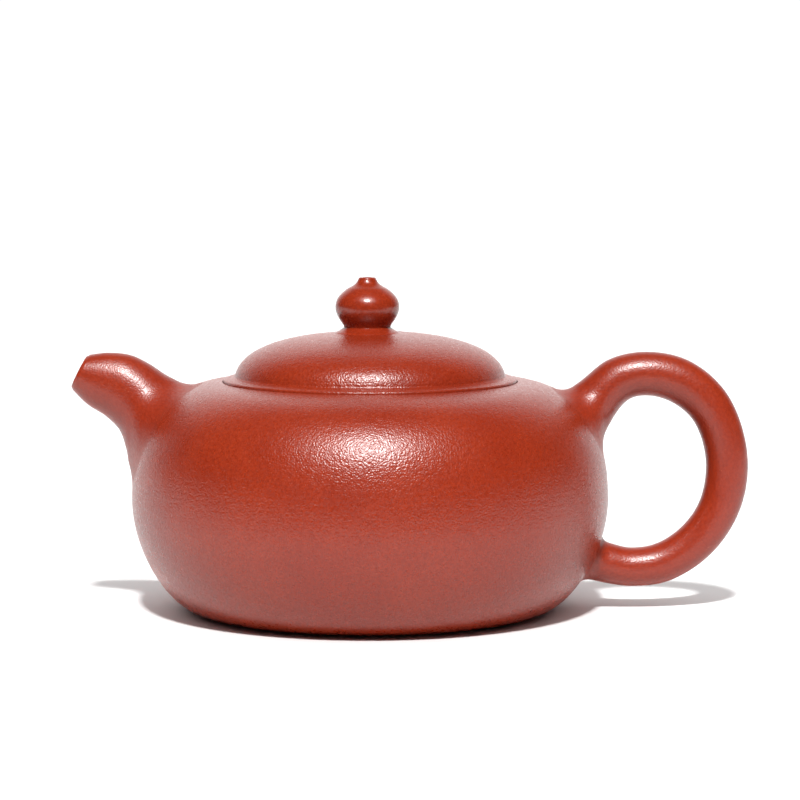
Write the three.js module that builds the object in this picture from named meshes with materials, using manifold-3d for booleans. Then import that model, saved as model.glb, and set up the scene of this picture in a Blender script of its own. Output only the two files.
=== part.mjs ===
// A small Yixing stoneware teapot: a squat round pot with a short spout and a loop handle,
// closed by an inset lid that lifts off by its pearl knob. Millimetres, +Z up. The pot
// stands on z = 0 with its spout towards -X and its handle towards +X.
import * as THREE from "three";
import * as BufferGeometryUtils from "three/addons/utils/BufferGeometryUtils.js";
import Module from "manifold-3d";

// Driving dimensions
const SPOUT_REACH = 64.6; // from the pot's axis to the spout's lip
const HANDLE_REACH = 81.6; // from the pot's axis to the handle's outside
const BELLY_RADIUS = 51.4;
const BELLY_HEIGHT = 24.3; // height of the widest ring
const FOOT_RADIUS = 34.6; // outer edge of the flat ring that the pot stands on
const FOOT_BORE = 30.6; // inner edge of that ring
const HEEL = { radius: 38, height: 0.5 }; // the belly's lower edge, just off the table
const MOUTH_HEIGHT = 49.4; // top of the shoulder, at the lid's seat
const SEAT_RADIUS = 31.8; // the rebate that the lid drops into
const LEDGE_HEIGHT = 46.5; // the ledge that the lid rests on
const LEDGE_BORE = 29.3; // the mouth inside the ledge
const WALL = 2.6; // thickness of the thrown clay
const SLIP = 0.25; // the slip layer between two pieces luted together
const FIT = 0.35; // play between the lid and its seat
const BRIM_RADIUS = SEAT_RADIUS - FIT;
const BRIM_PROUD = 0.5; // the lid's edge stands this far above the shoulder
const DOME_RADIUS = 29.1;
const DOME_BASE = MOUTH_HEIGHT + 1.3;
const DOME_TOP = 60;
const COLLAR_RADIUS = LEDGE_BORE - 0.45;
const COLLAR_WALL = 2.5;
const COLLAR_DEPTH = 5.6; // how far the collar reaches below the ledge
const VENT_RADIUS = 0.8; // the air hole down through the knob
const KNOB_SEAT_THICKNESS = 0.45;
const KNOB_RADIUS = 6.9;
const KNOB_HEIGHT = 10.8; // from the neck to the tip
const KNOB_SHIFT = 0.6; // the knob stands this far off the pot's axis, towards the spout
const SHOULDER_SPLIT = 0.6; // where the shoulder slab meets the wall, along the upper curve
const SLIP_STEP = 0.008; // the slip layer as a step along that curve
const LATHE_SEGMENTS = 52;
const KNOB_SEGMENTS = 28;

const CLAY = "#a8442d";
const BURNISHED_CLAY = "#a3402a";
const INNER_CLAY = "#9c4a35";

const wasm = await Module();
wasm.setup();

const point = (radius, height) => new THREE.Vector2(radius, height);

// Solids: three.js geometry to manifold and back, for the cuts

function solid(geometry) {
  const bare = geometry.index ? geometry.clone() : geometry;
  bare.deleteAttribute("normal");
  bare.deleteAttribute("uv");
  const merged = BufferGeometryUtils.mergeVertices(bare);
  const index = merged.index.array;
  const triangles = [];
  for (let i = 0; i < index.length; i += 3) {
    const [a, b, c] = [index[i], index[i + 1], index[i + 2]];
    if (a !== b && b !== c && c !== a) triangles.push(a, b, c);
  }
  const mesh = new wasm.Mesh({
    numProp: 3,
    vertProperties: new Float32Array(merged.attributes.position.array),
    triVerts: new Uint32Array(triangles),
  });
  return new wasm.Manifold(mesh);
}

function geometryOf(manifold) {
  const mesh = manifold.getMesh();
  const geometry = new THREE.BufferGeometry();
  geometry.setAttribute("position", new THREE.BufferAttribute(mesh.vertProperties, 3));
  geometry.setIndex(new THREE.BufferAttribute(mesh.triVerts, 1));
  geometry.computeVertexNormals();
  return geometry;
}

// Turns a profile of (radius, height) points about the Z axis. The profile runs up the
// outside and down the inside.
function turned(points, segments = LATHE_SEGMENTS) {
  return new THREE.LatheGeometry(points, segments).rotateX(Math.PI / 2);
}

const closed = (points) => [...points, points[0].clone()];

// Points on a curve between two parameters, moved to its left by depth: into the clay
function along(curve, from, to, steps, depth = 0) {
  const points = [];
  for (let i = 0; i <= steps; i += 1) {
    const t = THREE.MathUtils.lerp(from, to, i / steps);
    const at = curve.getPoint(t);
    const tangent = curve.getTangent(t);
    points.push(point(at.x - depth * tangent.y, at.y + depth * tangent.x));
  }
  return points;
}

// The pot's outside above its foot ring: a low curve up from the heel to the widest ring, then a shoulder
const lowerBelly = new THREE.CubicBezierCurve(
  point(HEEL.radius, HEEL.height),
  point(43.7, 1.3),
  point(BELLY_RADIUS, 13),
  point(BELLY_RADIUS, BELLY_HEIGHT),
);
const upperBelly = new THREE.CubicBezierCurve(
  point(BELLY_RADIUS, BELLY_HEIGHT),
  point(BELLY_RADIUS, 39.8),
  point(44.7, 48.8),
  point(SEAT_RADIUS, MOUTH_HEIGHT),
);

// The whole pot as one closed form, grown by a gap, to trim what is luted onto it
function potForm(gap) {
  return solid(turned([
    point(0, -gap),
    point(FOOT_RADIUS, -gap),
    ...along(lowerBelly, 0, 1, 12, -gap),
    ...along(upperBelly, 0, 1, 12, -gap),
    point(0, MOUTH_HEIGHT + gap),
  ]));
}

// The tea's space, shrunk by a gap, to trim what is luted inside it
function chamberForm(gap) {
  const depth = WALL + gap;
  return solid(turned([
    point(0, depth),
    ...along(lowerBelly, 0, 1, 10, depth),
    ...along(upperBelly, 0, 0.9, 9, depth),
    point(0, MOUTH_HEIGHT - depth),
  ]));
}

// A round bar between two edges drawn in the XZ plane. Each station gives a point on either
// edge and the bar's half width across that plane.
function barBetween(stations, sides, steps) {
  const edge = (key) => new THREE.CatmullRomCurve3(
    stations.map((station) => new THREE.Vector3(station[key][0], 0, station[key][1])),
  );
  const left = edge("left");
  const right = edge("right");
  const widths = new THREE.CatmullRomCurve3(
    stations.map(({ across }) => new THREE.Vector3(across, 0, 0)),
  );
  const bar = new THREE.CylinderGeometry(1, 1, 1, sides, steps);
  const position = bar.attributes.position;
  for (let i = 0; i < position.count; i += 1) {
    const t = position.getY(i) + 0.5;
    const from = right.getPoint(t);
    const to = left.getPoint(t);
    const place = from.lerp(to, (position.getX(i) + 1) / 2);
    position.setXYZ(i, place.x, position.getZ(i) * widths.getPoint(t).x, place.z);
  }
  return solid(bar);
}

// The pot

function baseDisc() {
  const radius = FOOT_BORE - SLIP;
  const underside = 1.2;
  return turned([
    point(0, underside),
    point(radius, underside),
    point(radius, underside + WALL),
    point(0, underside + WALL),
  ]);
}

// The spout's hole goes square through the wall, behind the strainer
const SPOUT_HOLE = { radius: 5, x: -48.2, z: 37.9, tilt: 0.52 };

function spoutHolePin() {
  const pin = new THREE.CylinderGeometry(SPOUT_HOLE.radius, SPOUT_HOLE.radius, 9, 20);
  pin.rotateZ(Math.PI / 2);
  pin.rotateY(SPOUT_HOLE.tilt);
  return solid(pin.translate(SPOUT_HOLE.x, 0, SPOUT_HOLE.z));
}

function bodyWall() {
  const wall = turned(closed([
    point(FOOT_BORE, 0),
    point(FOOT_RADIUS, 0),
    ...along(lowerBelly, 0, 1, 8),
    ...along(upperBelly, 0, SHOULDER_SPLIT, 5).slice(1),
    ...along(upperBelly, 0, SHOULDER_SPLIT, 4, WALL).reverse(),
    ...along(lowerBelly, 0, 1, 7, WALL).reverse().slice(1),
    point(FOOT_BORE, WALL),
  ]));
  return geometryOf(solid(wall).subtract(spoutHolePin()));
}

function shoulderDisc() {
  const start = SHOULDER_SPLIT + SLIP_STEP;
  return turned(closed([
    ...along(upperBelly, start, 1, 5),
    point(SEAT_RADIUS, LEDGE_HEIGHT + SLIP),
    ...along(upperBelly, start, 0.95, 4, WALL).reverse(),
  ]));
}

function mouthRing() {
  const outer = 35.4;
  const underside = LEDGE_HEIGHT - 2.8;
  return turned(closed([
    point(LEDGE_BORE, underside),
    point(outer - 0.8, underside),
    point(outer, underside + 0.8),
    point(outer, LEDGE_HEIGHT - 0.8),
    point(SEAT_RADIUS - 0.2, LEDGE_HEIGHT),
    point(LEDGE_BORE + 0.4, LEDGE_HEIGHT),
    point(LEDGE_BORE, LEDGE_HEIGHT - 0.4),
  ]));
}

function strainer() {
  const outerRadius = 7.4;
  const thickness = 1.5;
  const holeRadius = 0.8;
  const holeRings = [{ tilt: 0, count: 1 }, { tilt: 0.52, count: 5 }, { tilt: 1, count: 9 }];
  const dome = solid(new THREE.SphereGeometry(outerRadius, 16, 10));
  const hollow = solid(new THREE.SphereGeometry(outerRadius - thickness, 16, 10));
  let cap = dome.subtract(hollow);
  for (const { tilt, count } of holeRings) {
    for (let i = 0; i < count; i += 1) {
      const pin = new THREE.CylinderGeometry(holeRadius, holeRadius, 2 * outerRadius, 6);
      pin.translate(0, outerRadius, 0);
      pin.rotateZ(-Math.PI / 2 + tilt);
      pin.rotateX((i / count) * 2 * Math.PI);
      cap = cap.subtract(solid(pin));
    }
  }
  const placed = geometryOf(cap);
  placed.rotateY(SPOUT_HOLE.tilt);
  placed.translate(SPOUT_HOLE.x + 2.1, 0, SPOUT_HOLE.z - 1.2);
  return geometryOf(solid(placed).intersect(chamberForm(SLIP)));
}

// From inside the pot to the lip, seen with the spout pointing away: left is underneath
const SPOUT_STATIONS = [
  { left: [-46, 24.5], right: [-34, 44.5], across: 10, bore: 6 },
  { left: [-51.6, 30], right: [-40, 48.5], across: 9.2, bore: 5.4 },
  { left: [-52.7, 34.7], right: [-44.2, 50.8], across: 7.7, bore: 4.9 },
  { left: [-54.1, 38.7], right: [-47.8, 53.2], across: 6.6, bore: 4.4 },
  { left: [-57, 41.7], right: [-51.7, 55], across: 5.7, bore: 3.8 },
  { left: [-61, 44.3], right: [-56.4, 55.5], across: 4.8, bore: 3.2 },
  { left: [-64.6, 47.9], right: [-61, 55], across: 3.9, bore: 2.5 },
];

// The channel down the middle of the spout, carried on past the lip so that it cuts clean
function spoutChannel() {
  const stations = SPOUT_STATIONS.map(({ left, right, bore }) => {
    const middle = new THREE.Vector2((left[0] + right[0]) / 2, (left[1] + right[1]) / 2);
    const radius = new THREE.Vector2(left[0] - right[0], left[1] - right[1]).setLength(bore);
    return {
      left: middle.clone().add(radius).toArray(),
      right: middle.clone().sub(radius).toArray(),
      across: bore,
    };
  });
  const lip = stations[stations.length - 1];
  const beyond = ([x, z]) => [x - 2, z + 1];
  stations.push({ left: beyond(lip.left), right: beyond(lip.right), across: lip.across });
  return barBetween(stations, 16, 14);
}

function spout() {
  const shell = barBetween(SPOUT_STATIONS, 22, 16).subtract(spoutChannel());
  return geometryOf(shell.subtract(potForm(SLIP)));
}

// From the shoulder round to the foot of the wall: left is the outside of the loop
const HANDLE_STATIONS = [
  { left: [39.8, 45.3], right: [48.5, 31.5], across: 6.2 },
  { left: [45.3, 49.3], right: [51.4, 39.5], across: 5.4 },
  { left: [51.6, 54.1], right: [55.7, 45.3], across: 4.9 },
  { left: [60, 55.7], right: [60, 46.2], across: 4.7 },
  { left: [69.1, 53.6], right: [65.2, 44.7], across: 4.6 },
  { left: [77.1, 46.5], right: [69.8, 40.7], across: 4.6 },
  { left: [81.5, 34], right: [72.5, 32.7], across: 4.5 },
  { left: [80.4, 22.4], right: [71.6, 24.1], across: 4.4 },
  { left: [74.6, 12.5], right: [68.2, 18.4], across: 4.3 },
  { left: [65.2, 6], right: [62.5, 14.2], across: 4.2 },
  { left: [56.4, 4.7], right: [56.6, 13.1], across: 4.3 },
  { left: [47.7, 6.1], right: [50.5, 14.5], across: 4.8 },
  { left: [41, 7.5], right: [44, 16], across: 5.2 },
];

function handle() {
  return geometryOf(barBetween(HANDLE_STATIONS, 16, 40).subtract(potForm(SLIP)));
}

// The lid

function lidBrim() {
  const top = MOUTH_HEIGHT + BRIM_PROUD;
  const rounding = 0.9;
  const inner = DOME_RADIUS - COLLAR_WALL;
  return turned(closed([
    point(inner, LEDGE_HEIGHT),
    point(BRIM_RADIUS - 0.3, LEDGE_HEIGHT),
    point(BRIM_RADIUS, LEDGE_HEIGHT + 0.3),
    point(BRIM_RADIUS, top - rounding),
    point(BRIM_RADIUS - 0.3 * rounding, top - 0.3 * rounding),
    point(BRIM_RADIUS - rounding, top),
    point(DOME_RADIUS, DOME_BASE - SLIP),
    point(inner, DOME_BASE - SLIP),
  ]));
}

function lidCollar() {
  const top = LEDGE_HEIGHT - SLIP;
  const bottom = LEDGE_HEIGHT - COLLAR_DEPTH;
  const inner = COLLAR_RADIUS - COLLAR_WALL;
  return turned(closed([
    point(inner + 0.5, bottom),
    point(COLLAR_RADIUS - 0.5, bottom),
    point(COLLAR_RADIUS, bottom + 0.5),
    point(COLLAR_RADIUS, top),
    point(inner, top),
    point(inner, bottom + 0.5),
  ]));
}

const domeCurve = new THREE.CubicBezierCurve(
  point(DOME_RADIUS, DOME_BASE),
  point(DOME_RADIUS - 0.8, DOME_BASE + 4.1),
  point(22.3, DOME_TOP),
  point(0, DOME_TOP),
);

function lidDome() {
  const shell = solid(turned(closed([
    point(0, DOME_TOP - COLLAR_WALL),
    ...along(domeCurve, 0.1, 0.94, 5, COLLAR_WALL).reverse(),
    point(DOME_RADIUS - COLLAR_WALL, DOME_BASE),
    ...along(domeCurve, 0, 1, 9),
  ])));
  const vent = new THREE.CylinderGeometry(VENT_RADIUS, VENT_RADIUS, 4 * COLLAR_WALL, KNOB_SEGMENTS);
  vent.rotateX(Math.PI / 2);
  vent.translate(-KNOB_SHIFT, 0, DOME_TOP);
  return geometryOf(shell.subtract(solid(vent)));
}

function knobSeat() {
  const bottom = DOME_TOP + SLIP;
  return turned(closed([
    point(VENT_RADIUS, bottom),
    point(6.7, bottom),
    point(7.1, bottom + 0.15),
    point(6.3, bottom + KNOB_SEAT_THICKNESS),
    point(VENT_RADIUS, bottom + KNOB_SEAT_THICKNESS),
  ]), KNOB_SEGMENTS);
}

function knob() {
  const neck = DOME_TOP + KNOB_SEAT_THICKNESS + 2 * SLIP;
  const tip = neck + KNOB_HEIGHT;
  const outline = new THREE.Path();
  outline.moveTo(VENT_RADIUS, neck);
  outline.lineTo(5.1, neck);
  outline.bezierCurveTo(5, neck + 1, KNOB_RADIUS, neck + 2.2, KNOB_RADIUS, neck + 4.4);
  outline.bezierCurveTo(KNOB_RADIUS, neck + 6.3, 5.7, neck + 7.4, 4.1, neck + 8.5);
  outline.bezierCurveTo(3.1, neck + 9, 2.3, neck + 9.4, 1.9, tip);
  outline.lineTo(VENT_RADIUS, tip);
  return turned(closed(outline.getPoints(4)), KNOB_SEGMENTS);
}

// Materials and assembly

function clay(name, geometry, color, roughness) {
  const material = new THREE.MeshStandardMaterial({ color, roughness, metalness: 0 });
  const mesh = new THREE.Mesh(geometry, material);
  mesh.name = name;
  return mesh;
}

const pot = new THREE.Group();
pot.add(
  clay("base_disc", baseDisc(), CLAY, 0.6),
  clay("body_wall", bodyWall(), CLAY, 0.45),
  clay("shoulder_disc", shoulderDisc(), CLAY, 0.45),
  clay("mouth_ring", mouthRing(), INNER_CLAY, 0.6),
  clay("strainer", strainer(), INNER_CLAY, 0.7),
  clay("spout", spout(), BURNISHED_CLAY, 0.4),
  clay("handle", handle(), BURNISHED_CLAY, 0.4),
);

const pearl = new THREE.Group();
pearl.position.x = -KNOB_SHIFT;
pearl.add(
  clay("knob_seat", knobSeat(), BURNISHED_CLAY, 0.4),
  clay("knob", knob(), BURNISHED_CLAY, 0.4),
);

const lid = new THREE.Group();
lid.add(
  clay("lid_brim", lidBrim(), CLAY, 0.45),
  clay("lid_collar", lidCollar(), INNER_CLAY, 0.6),
  clay("lid_dome", lidDome(), CLAY, 0.45),
  pearl,
);

// The origin is under the middle of the whole length, so the pot's axis stands to one side
const teapot = new THREE.Group();
teapot.position.x = (SPOUT_REACH - HANDLE_REACH) / 2;
teapot.add(pot, lid);

export default teapot;
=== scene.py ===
"""A small Yixing stoneware teapot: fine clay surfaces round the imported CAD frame.

Shapes are worked out in millimetres about the pot's axis, and each mesh is put into the
frame in metres. Every piece stands for one CAD node and rides on its body.
"""
import math

import bpy
import numpy as np
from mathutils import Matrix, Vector


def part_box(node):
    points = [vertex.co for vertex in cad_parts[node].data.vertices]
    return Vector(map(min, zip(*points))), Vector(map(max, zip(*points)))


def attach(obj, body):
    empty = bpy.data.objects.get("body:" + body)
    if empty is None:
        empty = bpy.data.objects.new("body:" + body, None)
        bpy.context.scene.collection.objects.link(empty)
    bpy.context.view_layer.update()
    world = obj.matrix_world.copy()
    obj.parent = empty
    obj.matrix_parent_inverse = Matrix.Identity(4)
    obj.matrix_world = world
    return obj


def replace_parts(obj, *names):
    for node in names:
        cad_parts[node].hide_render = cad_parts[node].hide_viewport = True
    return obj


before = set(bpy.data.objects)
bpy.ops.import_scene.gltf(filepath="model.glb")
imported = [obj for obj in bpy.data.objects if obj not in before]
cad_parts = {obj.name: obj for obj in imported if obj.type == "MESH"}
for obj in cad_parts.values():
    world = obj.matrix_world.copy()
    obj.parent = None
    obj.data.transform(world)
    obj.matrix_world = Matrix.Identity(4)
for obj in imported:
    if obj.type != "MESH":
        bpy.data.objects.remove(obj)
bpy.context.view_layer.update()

MM = 0.001


def span(node):
    """Half a CAD node's width across the pot, its bottom and its top, in millimetres."""
    low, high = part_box(node)
    return (high.y - low.y) / 2 / MM, low.z / MM, high.z / MM


def middle_x(node):
    low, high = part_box(node)
    return (low.x + high.x) / 2 / MM


AXIS_X = middle_x("lid_dome")
KNOB_SHIFT = middle_x("knob") - AXIS_X

# The pot's form, in millimetres
SLIP = 0.25
WALL = 2.6
FOOT_RADIUS = 34.6
HEEL = (38, 0.5)  # the belly's lower edge, just off the table
FOOT_BORE = span("base_disc")[0] + SLIP
BELLY_RADIUS = span("body_wall")[0]
BELLY_HEIGHT = 24.3
MOUTH_HEIGHT = span("shoulder_disc")[2]
SEAT_RADIUS = 31.8
LEDGE_HEIGHT = span("mouth_ring")[2]
LEDGE_BORE = 29.3
SHOULDER_SPLIT = 0.6
BRIM_RADIUS = SEAT_RADIUS - 0.15  # the seam round the lid is finer than the CAD's play
BRIM_TOP = MOUTH_HEIGHT + 0.5
DOME_RADIUS, DOME_BASE, DOME_TOP = span("lid_dome")
COLLAR_RADIUS, COLLAR_BOTTOM, _ = span("lid_collar")
COLLAR_WALL = 2.5
VENT_RADIUS = 0.8
KNOB_RADIUS, KNOB_NECK, KNOB_TIP = span("knob")
SPOUT_HOLE = {"radius": 5, "x": -48.2, "z": 37.9, "tilt": 0.52}

LOWER_BELLY = [HEEL, (43.7, 1.3), (BELLY_RADIUS, 13), (BELLY_RADIUS, BELLY_HEIGHT)]
UPPER_BELLY = [
    (BELLY_RADIUS, BELLY_HEIGHT),
    (BELLY_RADIUS, 39.8),
    (44.7, 48.8),
    (SEAT_RADIUS, MOUTH_HEIGHT),
]
DOME = [
    (DOME_RADIUS, DOME_BASE), (DOME_RADIUS - 0.8, DOME_BASE + 4.1), (22.3, DOME_TOP), (0, DOME_TOP),
]

# How far the spout's and the handle's roots spread over the pot: in the plane of symmetry, and
# at the sides
SPOUT_ROOT = (3.2, 7.5)
HANDLE_TOP_ROOT = (3, 6.5)
HANDLE_FOOT_ROOT = (2.4, 3.6)
ROOT_FADE = 5  # the pot's coarse grain dies away over this distance

# The edges of the spout and the handle in the plane of symmetry, and half widths across it
SPOUT_UNDERSIDE = [
    (-46, 24.5), (-51.6, 30), (-52.7, 34.7), (-54.1, 38.7), (-57, 41.7), (-61, 44.3), (-64.6, 47.9),
]
SPOUT_TOP = [
    (-34, 44.5), (-40, 48.5), (-44.2, 50.8), (-47.8, 53.2), (-51.7, 55), (-56.4, 55.5), (-61, 55),
]
SPOUT_WIDTHS = [10, 9.2, 7.7, 6.6, 5.7, 4.8, 3.9]
SPOUT_BORES = [6, 5.4, 4.9, 4.4, 3.8, 3.2, 2.5]
HANDLE_OUTSIDE = [
    (39.8, 45.3), (45.3, 49.3), (51.6, 54.1), (60, 55.7), (69.1, 53.6), (77.1, 46.5), (81.5, 34),
    (80.4, 22.4), (74.6, 12.5), (65.2, 6), (56.4, 4.7), (47.7, 6.1), (41, 7.5),
]
HANDLE_INSIDE = [
    (48.5, 31.5), (51.4, 39.5), (55.7, 45.3), (60, 46.2), (65.2, 44.7), (69.8, 40.7), (72.5, 32.7),
    (71.6, 24.1), (68.2, 18.4), (62.5, 14.2), (56.6, 13.1), (50.5, 14.5), (44, 16),
]
HANDLE_WIDTHS = [6.2, 5.4, 4.9, 4.7, 4.6, 4.6, 4.5, 4.4, 4.3, 4.2, 4.3, 4.8, 5.2]


# Curves

def bezier(controls, steps, start=0.0, end=1.0, depth=0.0):
    """Points along a cubic, moved to its left by depth."""
    a, b, c, d = np.array(controls, float)
    t = np.linspace(start, end, steps + 1)[:, None]
    points = (1 - t) ** 3 * a + 3 * (1 - t) ** 2 * t * b + 3 * (1 - t) * t**2 * c + t**3 * d
    slope = (1 - t) ** 2 * (b - a) + 2 * (1 - t) * t * (c - b) + t**2 * (d - c)
    slope /= np.linalg.norm(slope, axis=1, keepdims=True)
    return points + depth * np.column_stack([-slope[:, 1], slope[:, 0]])


def eased(corners, steps=6):
    """A line through (radius, height, rounding) corners, each rounded off by that length."""
    line = []
    for i, (radius, height, rounding) in enumerate(corners):
        here = np.array([radius, height], float)
        if rounding == 0:
            line.append(here)
            continue
        back = np.array(corners[i - 1][:2], float) - here
        on = np.array(corners[(i + 1) % len(corners)][:2], float) - here
        start = here + back / np.linalg.norm(back) * rounding
        end = here + on / np.linalg.norm(on) * rounding
        for t in np.linspace(0, 1, steps + 1):
            line.append((1 - t) ** 2 * start + 2 * t * (1 - t) * here + t**2 * end)
    return np.array(line)


def through(points, count):
    """A smooth line through the points: a centripetal Catmull-Rom spline."""
    p = np.array(points, float)
    if p.ndim == 1:
        p = p[:, None]
    p = np.vstack([2 * p[0] - p[1], p, 2 * p[-1] - p[-2]])
    spans = np.maximum(np.linalg.norm(np.diff(p, axis=0), axis=1) ** 0.5, 1e-6)
    line = []
    for t in np.linspace(0, len(points) - 1, count):
        i = min(int(t), len(points) - 2)
        u = t - i
        before, here, after = spans[i : i + 3]
        p0, p1, p2, p3 = p[i : i + 4]
        m1 = here * ((p1 - p0) / before - (p2 - p0) / (before + here) + (p2 - p1) / here)
        m2 = here * ((p2 - p1) / here - (p3 - p1) / (here + after) + (p3 - p2) / after)
        line.append(
            (2 * u**3 - 3 * u**2 + 1) * p1
            + (u**3 - 2 * u**2 + u) * m1
            + (3 * u**2 - 2 * u**3) * p2
            + (u**3 - u**2) * m2
        )
    return np.array(line)


def length(line):
    return np.linalg.norm(np.diff(line, axis=0), axis=1).sum()


def spaced(line, places):
    """The points of a polyline at the given distances along it."""
    run = np.concatenate([[0], np.cumsum(np.linalg.norm(np.diff(line, axis=0), axis=1))])
    return np.column_stack([np.interp(places, run, line[:, axis]) for axis in range(3)])


# Meshes

def placed(points):
    """Millimetres about the pot's axis to metres in the frame."""
    return ((np.asarray(points, float) + (AXIS_X, 0, 0)) * MM).tolist()


def piece(name, body, slot, points, faces, grain=1.0, crease=35):
    """A mesh object whose grain attribute says how coarse its skin is, from 0 to 1."""
    mesh = bpy.data.meshes.new(name)
    mesh.from_pydata(placed(points), [], faces)
    mesh.validate()
    mesh.shade_smooth()
    mesh.set_sharp_from_angle(angle=math.radians(crease))
    layer = mesh.attributes.new("grain", "FLOAT", "POINT")
    layer.data.foreach_set("value", np.full(len(points), grain, np.float32))
    made = bpy.data.objects.new(name, mesh)
    bpy.context.scene.collection.objects.link(made)
    mesh.materials.append(MATERIALS[slot])
    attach(made, body)
    return made


def revolved(outline, segments):
    """Points and faces of a closed outline of (radius, height) turned about the Z axis."""
    angles = np.arange(segments) * 2 * math.pi / segments
    points, rings = [], []
    for radius, height in np.asarray(outline, float):
        if radius < 1e-6:
            rings.append([len(points)])
            points.append((0, 0, height))
        else:
            rings.append(list(range(len(points), len(points) + segments)))
            points += [(radius * math.cos(a), radius * math.sin(a), height) for a in angles]
    faces = []
    for low, high in zip(rings, rings[1:] + rings[:1]):
        if len(low) == 1 and len(high) == 1:
            continue
        for i in range(segments):
            j = (i + 1) % segments
            near = [low[i % len(low)], low[j % len(low)]]
            far = [high[j % len(high)], high[i % len(high)]]
            faces.append(list(dict.fromkeys(near + far)))
    return np.array(points), faces


def turned(name, body, slot, outline, segments=256, grain=1.0, shift=0.0):
    points, faces = revolved(outline, segments)
    return piece(name, body, slot, points + (shift, 0, 0), faces, grain)


def lofted(rows, closed):
    """Faces over rows of points of equal count; closed also joins the last row to the first."""
    count, sides = len(rows), len(rows[0])
    faces = []
    for i in range(count if closed else count - 1):
        k = (i + 1) % count
        for j in range(sides):
            n = (j + 1) % sides
            faces.append([i * sides + j, i * sides + n, k * sides + n, k * sides + j])
    if not closed:
        faces.append(list(range(sides))[::-1])
        faces.append([(count - 1) * sides + j for j in range(sides)])
    return faces


def pin(centre, along, radius, reach, sides=32):
    """Points and faces of a round bar that runs by reach to either side of its centre."""
    along = Vector(along).normalized()
    across = along.orthogonal().normalized()
    beside = along.cross(across)
    rows = []
    for end in (-reach, reach):
        for a in np.arange(sides) * 2 * math.pi / sides:
            spoke = across * math.cos(a) + beside * math.sin(a)
            rows.append(Vector(centre) + along * end + spoke * radius)
    return np.array(rows), lofted([rows[:sides], rows[sides:]], closed=False)


def trim(made, form, operation="DIFFERENCE"):
    """Cuts a piece by a closed form of (points, faces)."""
    mesh = bpy.data.meshes.new("cutter")
    mesh.from_pydata(placed(form[0]), [], form[1])
    cutter = bpy.data.objects.new("cutter", mesh)
    bpy.context.scene.collection.objects.link(cutter)
    boolean = made.modifiers.new("trim", "BOOLEAN")
    boolean.operation, boolean.solver, boolean.object = operation, "EXACT", cutter
    bpy.context.view_layer.update()
    trimmed = made.evaluated_get(bpy.context.evaluated_depsgraph_get())
    made.data = bpy.data.meshes.new_from_object(trimmed)
    made.modifiers.clear()
    made.data.set_sharp_from_angle(angle=math.radians(35))
    bpy.data.objects.remove(cutter)


# The pot's outside, to land the spout's and the handle's roots on

SURFACE = np.vstack([bezier(LOWER_BELLY, 300), bezier(UPPER_BELLY, 300)[1:]])
SURFACE_NORMAL = np.vstack([
    bezier(LOWER_BELLY, 300) - bezier(LOWER_BELLY, 300, depth=1),
    (bezier(UPPER_BELLY, 300) - bezier(UPPER_BELLY, 300, depth=1))[1:],
])


def pot_surface(points):
    """How far each point stands off the pot's outside, and the outward normal below it."""
    points = np.atleast_2d(points)
    radius = np.hypot(points[:, 0], points[:, 1])
    flat = np.column_stack([radius, points[:, 2]])
    nearest = np.array([np.argmin(((SURFACE - p) ** 2).sum(axis=1)) for p in flat])
    off = ((flat - SURFACE[nearest]) * SURFACE_NORMAL[nearest]).sum(axis=1)
    around = points[:, :2] / radius[:, None]
    normal = np.column_stack([SURFACE_NORMAL[nearest, :1] * around, SURFACE_NORMAL[nearest, 1]])
    return off, normal


def bar_lines(left, right, widths, sides, count):
    """The lines along a round bar between two edges, and the line down its middle."""
    left, right = through(left, count), through(right, count)
    widths = through(widths, count)[:, 0]
    middle = (left + right) / 2
    lines = []
    for angle in np.arange(sides) * 2 * math.pi / sides:
        edge = middle + (left - right) / 2 * math.cos(angle)
        lines.append(np.column_stack([edge[:, 0], widths * math.sin(angle), edge[:, 1]]))
    return np.array(lines), np.column_stack([middle[:, 0], np.zeros(count), middle[:, 1]])


def round_bar(sides, in_plane, beside):
    """A value for each line of a bar: one in the plane of symmetry, another at its sides."""
    return in_plane + (beside - in_plane) * np.sin(np.arange(sides) * 2 * math.pi / sides) ** 2


def root(line, middle, reach, steps=26):
    """A line's blend into the pot, and how far along the line it ends. It starts on the
    pot's surface, reach away from where the line comes out of it, and passes over to the
    line by the time it is reach beyond that place, with no break in curvature."""
    off, _ = pot_surface(line)
    k = int(np.argmax(off > 0))
    share = off[k - 1] / (off[k - 1] - off[k])
    meet = line[k - 1] + (line[k] - line[k - 1]) * share
    run = length(line[:k]) + np.linalg.norm(meet - line[k - 1])
    normal = pot_surface(meet)[1][0]
    away = meet - middle[k]
    away -= normal * (away @ normal)
    away /= np.linalg.norm(away)
    t = np.linspace(0.05, 1, steps)[:, None]
    on_pot = meet + away * reach * (1 - t)
    for _ in range(2):
        off, normals = pot_surface(on_pot)
        on_pot = on_pot - off[:, None] * normals
    on_bar = spaced(line, run + reach * t[:, 0])
    share = t**3 * (6 * t**2 - 15 * t + 10)
    curve = (1 - share) * on_pot + share * on_bar
    under = curve[0] - 0.5 * normals[0]
    return np.vstack([under, curve]), run + reach


def root_grain(points):
    """Full grain at the pot's surface, and half of it on the burnished clay beyond."""
    off, _ = pot_surface(points)
    return np.clip(1 - off / ROOT_FADE, 0, 1) ** 1.5 * 0.5 + 0.5


# The pot

def base_disc():
    rim = FOOT_BORE - 0.05
    outline = eased([
        (0, 1.7, 0), (FOOT_BORE - 6, 1.5, 4), (rim, 1.2, 0.25), (rim, 3.8, 0.2), (0, 3.8, 0),
    ])
    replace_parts(turned("base_disc_fine", "pot", "pot_clay", outline), "base_disc")


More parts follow.
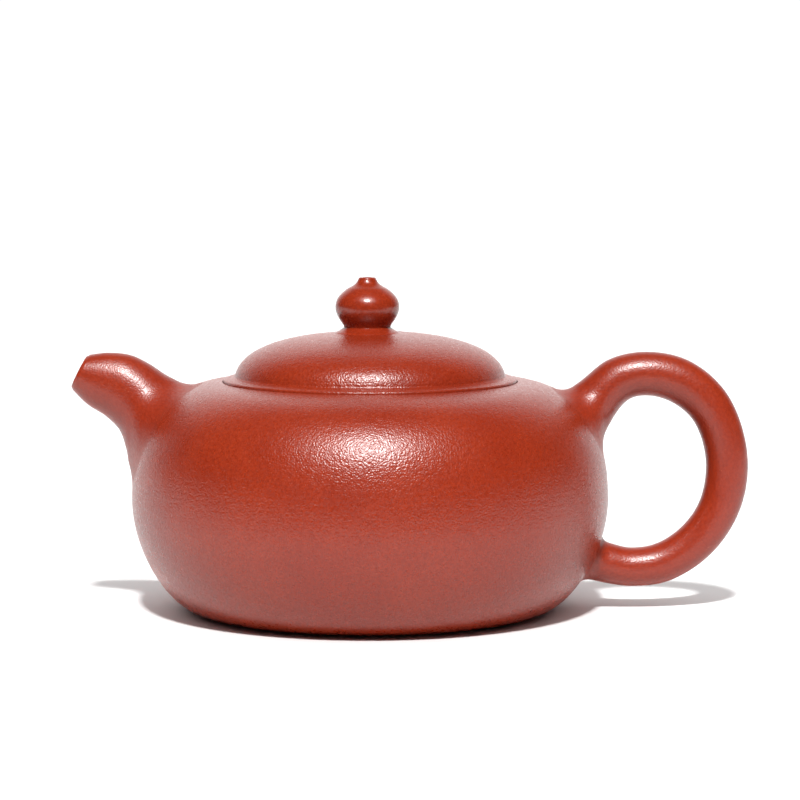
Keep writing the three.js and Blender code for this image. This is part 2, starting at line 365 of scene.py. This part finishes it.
def body_wall():
    outline = np.vstack([
        eased([
            (FOOT_BORE, WALL + 0.6, 0), (FOOT_BORE, 0, 0.6), (FOOT_RADIUS, 0, 0.6), (*HEEL, 0),
        ]),
        bezier(LOWER_BELLY, 70)[1:],
        bezier(UPPER_BELLY, 40, 0, SHOULDER_SPLIT)[1:],
        bezier(UPPER_BELLY, 16, 0, SHOULDER_SPLIT, WALL)[::-1],
        bezier(LOWER_BELLY, 24, 0, 1, WALL)[::-1][1:],
    ])
    wall = turned("body_wall_fine", "pot", "pot_clay", outline)
    out = (-math.cos(SPOUT_HOLE["tilt"]), 0, math.sin(SPOUT_HOLE["tilt"]))
    centre = (SPOUT_HOLE["x"], 0, SPOUT_HOLE["z"])
    trim(wall, pin(centre, out, SPOUT_HOLE["radius"], 4.5, sides=48))
    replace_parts(wall, "body_wall")


def shoulder_disc():
    rim = eased([
        (SEAT_RADIUS + 0.3, MOUTH_HEIGHT - 0.02, 0), (SEAT_RADIUS, MOUTH_HEIGHT, 0.12),
        (SEAT_RADIUS, LEDGE_HEIGHT, 0),
    ])
    outline = np.vstack([
        bezier(UPPER_BELLY, 40, SHOULDER_SPLIT, 0.99),
        rim[1:],
        bezier(UPPER_BELLY, 12, SHOULDER_SPLIT, 0.95, WALL)[::-1],
    ])
    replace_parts(turned("shoulder_disc_fine", "pot", "pot_clay", outline), "shoulder_disc")


def mouth_ring():
    outer = 35.4
    underside = LEDGE_HEIGHT - 2.8
    outline = eased([
        (LEDGE_BORE, underside, 0.5), (outer - 0.8, underside, 0.3), (outer, underside + 0.8, 0.3),
        (outer, LEDGE_HEIGHT - 0.6, 0), (SEAT_RADIUS + 0.1, LEDGE_HEIGHT, 0),
        (SEAT_RADIUS - 0.2, LEDGE_HEIGHT, 0), (LEDGE_BORE, LEDGE_HEIGHT, 0.5),
    ])
    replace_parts(turned("mouth_ring_fine", "pot", "inner_clay", outline), "mouth_ring")


def strainer():
    """A pierced ball behind the spout's hole, trimmed to the tea's space."""
    outer, thickness, hole = 7.4, 1.5, 0.8
    tilt = SPOUT_HOLE["tilt"]
    centre = np.array([SPOUT_HOLE["x"] + 2.1, 0, SPOUT_HOLE["z"] - 1.2])
    into = np.array([math.cos(tilt), 0, -math.sin(tilt)])
    up = np.array([math.sin(tilt), 0, math.cos(tilt)])
    side = np.array([0, 1, 0])

    def facing(points):
        return centre + points @ np.array([up, -side, into])

    arc = np.linspace(0, 2.1, 40)
    shell = [(outer * math.sin(a), outer * math.cos(a)) for a in arc[::-1]]
    hollow = [((outer - thickness) * math.sin(a), (outer - thickness) * math.cos(a)) for a in arc]
    points, faces = revolved(shell + hollow, 96)
    ball = piece("strainer_fine", "pot", "inner_clay", facing(points), faces)
    depth = WALL + SLIP
    chamber = np.vstack([
        [(0, depth)],
        bezier(LOWER_BELLY, 40, 0, 1, depth),
        bezier(UPPER_BELLY, 40, 0, 0.9, depth)[1:],
        [(0, MOUTH_HEIGHT - depth)],
    ])
    trim(ball, revolved(chamber, 128), "INTERSECT")
    for lean, count in ((0, 1), (0.52, 5), (1, 9)):
        for turn in np.arange(count) * 2 * math.pi / count:
            across = math.sin(lean)
            spoke = (across * math.cos(turn), across * math.sin(turn), math.cos(lean))
            along = np.array(spoke) @ np.array([up, -side, into])
            trim(ball, pin(centre + along * outer, along, hole, 3, sides=20))
    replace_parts(ball, "strainer")


def spout():
    sides = 96
    lip = 0.55
    lines, middle = bar_lines(SPOUT_UNDERSIDE, SPOUT_TOP, SPOUT_WIDTHS, sides, 300)
    end = middle[-1]
    forward = end - middle[-2]
    forward /= np.linalg.norm(forward)
    bores = through(SPOUT_BORES, 300)
    columns = []
    for line, reach in zip(lines, round_bar(sides, *SPOUT_ROOT)):
        blend, run = root(line, middle, reach)
        outside = spaced(line, np.linspace(run, length(line) - lip, 50))[1:]
        spoke = line[-1] - end
        outer = np.linalg.norm(spoke)
        spoke /= outer
        rim = []
        for a in np.linspace(0, math.pi, 15)[1:]:
            edge = outer if a < math.pi / 2 else SPOUT_BORES[-1] + 2 * lip
            across = edge - lip * (1 - math.cos(a))
            rim.append(end + spoke * across - forward * lip * (1 - math.sin(a)))
        spokes = line - middle
        channel = middle + spokes / np.linalg.norm(spokes, axis=1)[:, None] * bores
        channel = channel[60:]
        channel = spaced(channel, np.linspace(length(channel) - 2 * lip, 0, 40))
        columns.append(np.vstack([blend, outside, rim, channel]))
    rows = np.array(columns).transpose(1, 0, 2)
    points = rows.reshape(-1, 3)
    made = piece(
        "spout_fine", "pot", "burnished_clay", points, lofted(rows, closed=True),
        grain=root_grain(points), crease=50,
    )
    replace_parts(made, "spout")


def handle():
    sides = 96
    lines, middle = bar_lines(HANDLE_OUTSIDE, HANDLE_INSIDE, HANDLE_WIDTHS, sides, 500)
    columns = []
    upper_reaches = round_bar(sides, *HANDLE_TOP_ROOT)
    lower_reaches = round_bar(sides, *HANDLE_FOOT_ROOT)
    for line, upper_reach, lower_reach in zip(lines, upper_reaches, lower_reaches):
        upper, start = root(line, middle, upper_reach)
        lower, stop = root(line[::-1], middle[::-1], lower_reach)
        loop = spaced(line, np.linspace(start, length(line) - stop, 220))[1:-1]
        columns.append(np.vstack([upper, loop, lower[::-1]]))
    rows = np.array(columns).transpose(1, 0, 2)
    points = rows.reshape(-1, 3)
    made = piece(
        "handle_fine", "pot", "burnished_clay", points, lofted(rows, closed=False),
        grain=root_grain(points), crease=50,
    )
    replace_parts(made, "handle")


# The lid

def lid_brim():
    inner = DOME_RADIUS - COLLAR_WALL
    seam = DOME_BASE - 0.2
    outline = eased([
        (inner, LEDGE_HEIGHT + 0.05, 0), (BRIM_RADIUS, LEDGE_HEIGHT + 0.05, 0.3),
        (BRIM_RADIUS, BRIM_TOP - 0.02, 0.35), (DOME_RADIUS + 0.4, seam - 0.02, 0),
        (DOME_RADIUS - 0.6, seam, 0), (inner, seam, 0),
    ])
    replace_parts(turned("lid_brim_fine", "lid", "lid_clay", outline), "lid_brim")


def lid_dome():
    fillet = bezier([
        (DOME_RADIUS + 0.35, DOME_BASE - 0.3), (DOME_RADIUS + 0.12, DOME_BASE - 0.23),
        (DOME_RADIUS, DOME_BASE), (DOME_RADIUS - 0.09, DOME_BASE + 0.48),
    ], 10)
    outline = np.vstack([
        fillet,
        bezier(DOME, 70, 0.05, 1),
        bezier(DOME, 24, 0.1, 1, COLLAR_WALL)[::-1],
        [(DOME_RADIUS - COLLAR_WALL, DOME_BASE - 0.35)],
    ])
    dome = turned("lid_dome_fine", "lid", "lid_clay", outline)
    trim(dome, pin((KNOB_SHIFT, 0, DOME_TOP), (0, 0, 1), VENT_RADIUS, 2 * COLLAR_WALL))
    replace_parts(dome, "lid_dome")


def lid_collar():
    inner = COLLAR_RADIUS - COLLAR_WALL
    outline = eased([
        (inner, COLLAR_BOTTOM, 0.8), (COLLAR_RADIUS, COLLAR_BOTTOM, 0.8),
        (COLLAR_RADIUS, LEDGE_HEIGHT, 0), (inner, LEDGE_HEIGHT, 0),
    ])
    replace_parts(turned("lid_collar_fine", "lid", "inner_clay", outline), "lid_collar")


def knob_seat():
    """A soft low cone between the dome and the knob's neck."""
    rim = 7.1
    bottom, top = DOME_TOP - 0.4, KNOB_NECK + 0.1
    slope = bezier([
        (rim, DOME_TOP - 0.3), (6.6, DOME_TOP + 0.2), (5.6, DOME_TOP + 0.45), (5.05, top),
    ], 14)
    outline = np.vstack([[(VENT_RADIUS, bottom), (rim, bottom)], slope, [(VENT_RADIUS, top)]])
    seat = turned(
        "knob_seat_fine", "lid", "burnished_clay", outline, 128, grain=0.15, shift=KNOB_SHIFT,
    )
    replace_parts(seat, "knob_seat")


def knob():
    h = KNOB_NECK
    bulge = [(4.98, h), (5.1, h + 1), (KNOB_RADIUS, h + 2.2), (KNOB_RADIUS, h + 4.4)]
    crown = [(KNOB_RADIUS, h + 4.4), (KNOB_RADIUS, h + 6.3), (5.7, h + 7.4), (4.1, h + 8.5)]
    point = [(4.1, h + 8.5), (3.1, h + 9), (2.3, h + 9.4), (2, KNOB_TIP - 0.5)]
    tip = eased([
        (1.95, KNOB_TIP - 0.6, 0), (1.85, KNOB_TIP, 0.45), (VENT_RADIUS, KNOB_TIP, 0.3),
        (VENT_RADIUS, KNOB_TIP - 1, 0),
    ])
    outline = np.vstack([
        [(VENT_RADIUS, h - 0.1), (4.9, h - 0.1)],
        bezier(bulge, 30), bezier(crown, 24)[1:], bezier(point, 16)[1:], tip[1:],
    ])
    made = turned("knob_fine", "lid", "burnished_clay", outline, 128, grain=0.15, shift=KNOB_SHIFT)
    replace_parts(made, "knob")


# Materials

def clay(name, colour, roughness, coarser=0.06):
    """Unglazed fired clay: a pebbly skin, turning streaks, sand specks and a faint mottle.
    Coarser is added to the roughness where the grain is full. Sizes are in millimetres."""
    pebble, speck_share = 0.36, 0.66
    material = bpy.data.materials.new(name)
    material.use_nodes = True
    nodes, links = material.node_tree.nodes, material.node_tree.links
    shader = nodes["Principled BSDF"]
    place = nodes.new("ShaderNodeTexCoord").outputs["Object"]

    def noise(size, detail=2.0, where=place):
        node = nodes.new("ShaderNodeTexNoise")
        node.inputs["Scale"].default_value = 1 / (size * MM)
        node.inputs["Detail"].default_value = detail
        links.new(where, node.inputs["Vector"])
        return node.outputs["Fac"]

    def cells(size, feature="F1"):
        node = nodes.new("ShaderNodeTexVoronoi")
        node.feature = feature
        node.inputs["Scale"].default_value = 1 / (size * MM)
        links.new(place, node.inputs["Vector"])
        return node.outputs["Distance"]

    def ramp(source, low, high, to_low=0.0, to_high=1.0):
        node = nodes.new("ShaderNodeMapRange")
        node.inputs["From Min"].default_value = low
        node.inputs["From Max"].default_value = high
        node.inputs["To Min"].default_value = to_low
        node.inputs["To Max"].default_value = to_high
        links.new(source, node.inputs["Value"])
        return node.outputs["Result"]

    def combine(operation, a, b):
        node = nodes.new("ShaderNodeMath")
        node.operation = operation
        for socket, value in zip(node.inputs, (a, b)):
            if isinstance(value, (int, float)):
                socket.default_value = value
            else:
                links.new(value, socket)
        return node.outputs[0]

    def mix(factor, a, b):
        node = nodes.new("ShaderNodeMix")
        node.data_type = "RGBA"
        links.new(factor, node.inputs["Factor"])
        for socket, value in ((node.inputs[6], a), (node.inputs[7], b)):
            if isinstance(value, tuple):
                socket.default_value = (*value, 1)
            else:
                links.new(value, socket)
        return node.outputs[2]

    def bump(height, depth, strength=None, below=None):
        node = nodes.new("ShaderNodeBump")
        node.inputs["Distance"].default_value = depth * MM
        links.new(height, node.inputs["Height"])
        if strength:
            links.new(strength, node.inputs["Strength"])
        if below:
            links.new(below, node.inputs["Normal"])
        return node.outputs["Normal"]

    red, green, blue = colour
    paler = (red * 1.12, green * 1.3, blue * 1.4)
    darker = (red * 0.84, green * 0.76, blue * 0.74)
    fine_dark_tone = (red * 0.7, green * 0.6, blue * 0.6)
    sand = (red * 1.3 + 0.03, green * 2.4 + 0.03, blue * 2.8 + 0.02)
    mottle = mix(ramp(noise(14, 3), 0.35, 0.68), darker, paler)
    tint = mix(ramp(noise(70), 0.3, 0.7, 0.25, 0.75), mottle, colour)
    # a fine speckle of darker tone, spread at random over the surface
    tint = mix(ramp(noise(0.6), 0.35, 0.65, 0.0, 0.6), tint, fine_dark_tone)
    scattered = ramp(noise(1.1, 1), speck_share, speck_share + 0.04)
    speck = combine("MULTIPLY", ramp(cells(pebble), 0.3, 0.1), scattered)
    links.new(mix(speck, tint, sand), shader.inputs["Base Color"])

    grain = nodes.new("ShaderNodeAttribute")
    grain.attribute_name = "grain"
    grain = grain.outputs["Fac"]
    streaks = nodes.new("ShaderNodeMapping")
    streaks.inputs["Scale"].default_value = (1, 1, 9)
    links.new(place, streaks.inputs["Vector"])
    pebbles = combine("MULTIPLY", cells(pebble, "SMOOTH_F1"), -1.0)
    pebbles = combine("ADD", pebbles, combine("MULTIPLY", noise(0.22), 0.3))
    pebbles = combine("ADD", pebbles, combine("MULTIPLY", noise(1.0), 0.6))
    turning = combine("MULTIPLY", noise(7, 2, streaks.outputs["Vector"]), 0.6)
    pebbles = combine("ADD", pebbles, turning)
    skin = bump(pebbles, 0.075, strength=grain)
    links.new(bump(noise(6), 0.07, below=skin), shader.inputs["Normal"])
    gloss = ramp(noise(0.8), 0.3, 0.7, roughness - 0.05, roughness + 0.05)
    gloss = combine("ADD", gloss, combine("MULTIPLY", grain, coarser))
    links.new(gloss, shader.inputs["Roughness"])
    shader.inputs["IOR"].default_value = 1.55
    return material


CLAY_RED = (0.285, 0.0255, 0.0065)
MATERIALS = {
    "pot_clay": clay("pot_clay", CLAY_RED, 0.24),
    "lid_clay": clay("lid_clay", CLAY_RED, 0.24),
    "burnished_clay": clay("burnished_clay", CLAY_RED, 0.23, coarser=0.2),
    "inner_clay": clay("inner_clay", (0.27, 0.045, 0.022), 0.5),
}


# Studio

def floor():
    """A pale table whose front edge is nearer than the camera sees."""
    side, front, back = 3.0, -0.26, 3.0
    points = [(-side, front, 0), (side, front, 0), (side, back, 0), (-side, back, 0)]
    mesh = bpy.data.meshes.new("floor")
    mesh.from_pydata(points, [], [(0, 1, 2, 3)])
    made = bpy.data.objects.new("floor", mesh)
    bpy.context.scene.collection.objects.link(made)
    white = bpy.data.materials.new("white_floor")
    white.use_nodes = True
    shader = white.node_tree.nodes["Principled BSDF"]
    shader.inputs["Base Color"].default_value = (0.86, 0.86, 0.86, 1)
    shader.inputs["Roughness"].default_value = 0.9
    mesh.materials.append(white)
    return made


def sun(name, energy, elevation, angle, azimuth=0.0):
    """Light from in front of the pot, or from behind it at elevations over 90 degrees. The
    azimuth turns it towards the handle's side."""
    light = bpy.data.lights.new(name, "SUN")
    light.energy = energy
    light.angle = math.radians(angle)
    made = bpy.data.objects.new(name, light)
    bpy.context.scene.collection.objects.link(made)
    up, aside = math.radians(elevation), math.radians(azimuth)
    level = math.cos(up)
    towards = Vector((level * math.sin(aside), -level * math.cos(aside), math.sin(up)))
    made.rotation_mode = "QUATERNION"
    made.rotation_quaternion = towards.to_track_quat("Z", "Y")
    return made


def lights(ground):
    """A key light from above the camera with softer ones round it for the pot, and for the
    table a key light of its own and a wide one that fills the shadows."""
    on_pot = [
        sun("key", energy=3.9, elevation=51, angle=8),
        sun("soft_key", energy=0.9, elevation=62, angle=26),
        sun("soft_left", energy=0.2, elevation=52, angle=22, azimuth=-24),
        sun("soft_right", energy=0.2, elevation=52, angle=22, azimuth=24),
    ]
    on_table = [
        sun("table_key", energy=3.8, elevation=57, angle=5),
        sun("table_fill", energy=1.65, elevation=100, angle=110),
    ]
    for lamps, state in ((on_pot, "EXCLUDE"), (on_table, "INCLUDE")):
        group = bpy.data.collections.new("table_" + state.lower())
        group.objects.link(ground)
        group.collection_objects[0].light_linking.link_state = state
        for lamp in lamps:
            lamp.light_linking.receiver_collection = group


def surroundings():
    """A dim room in front of the pot, and a backdrop brightest straight behind it."""
    world = bpy.data.worlds.new("studio")
    bpy.context.scene.world = world
    world.use_nodes = True
    nodes, links = world.node_tree.nodes, world.node_tree.links
    background = nodes["Background"]
    place = nodes.new("ShaderNodeTexCoord")
    split = nodes.new("ShaderNodeSeparateXYZ")
    links.new(place.outputs["Generated"], split.inputs["Vector"])
    backdrop = nodes.new("ShaderNodeMapRange")
    backdrop.inputs["From Min"].default_value = 0.45
    backdrop.inputs["From Max"].default_value = 1.0
    backdrop.inputs["To Min"].default_value = 0.02
    backdrop.inputs["To Max"].default_value = 1.6
    links.new(split.outputs["Y"], backdrop.inputs["Value"])
    seen = nodes.new("ShaderNodeLightPath")
    strength = nodes.new("ShaderNodeMix")
    links.new(seen.outputs["Is Camera Ray"], strength.inputs["Factor"])
    links.new(backdrop.outputs["Result"], strength.inputs["A"])
    strength.inputs["B"].default_value = 1.05
    links.new(strength.outputs["Result"], background.inputs["Strength"])
    background.inputs["Color"].default_value = (1, 1, 1, 1)


def camera():
    """Low in front of the pot, a little to the handle's side of its axis."""
    place = Vector((AXIS_X + 6.44, -644.4, 108.3))
    pitch_down = 5.59
    lens = bpy.data.cameras.new("camera")
    lens.lens = 135
    lens.sensor_width = 36
    made = bpy.data.objects.new("camera", lens)
    bpy.context.scene.collection.objects.link(made)
    made.location = place * MM
    made.rotation_euler = (math.radians(90 - pitch_down), 0, 0)
    bpy.context.scene.camera = made


base_disc()
body_wall()
shoulder_disc()
mouth_ring()
strainer()
spout()
handle()
lid_brim()
lid_dome()
lid_collar()
knob_seat()
knob()
lights(floor())
surroundings()
camera()
bpy.context.scene.view_settings.view_transform = "Standard"
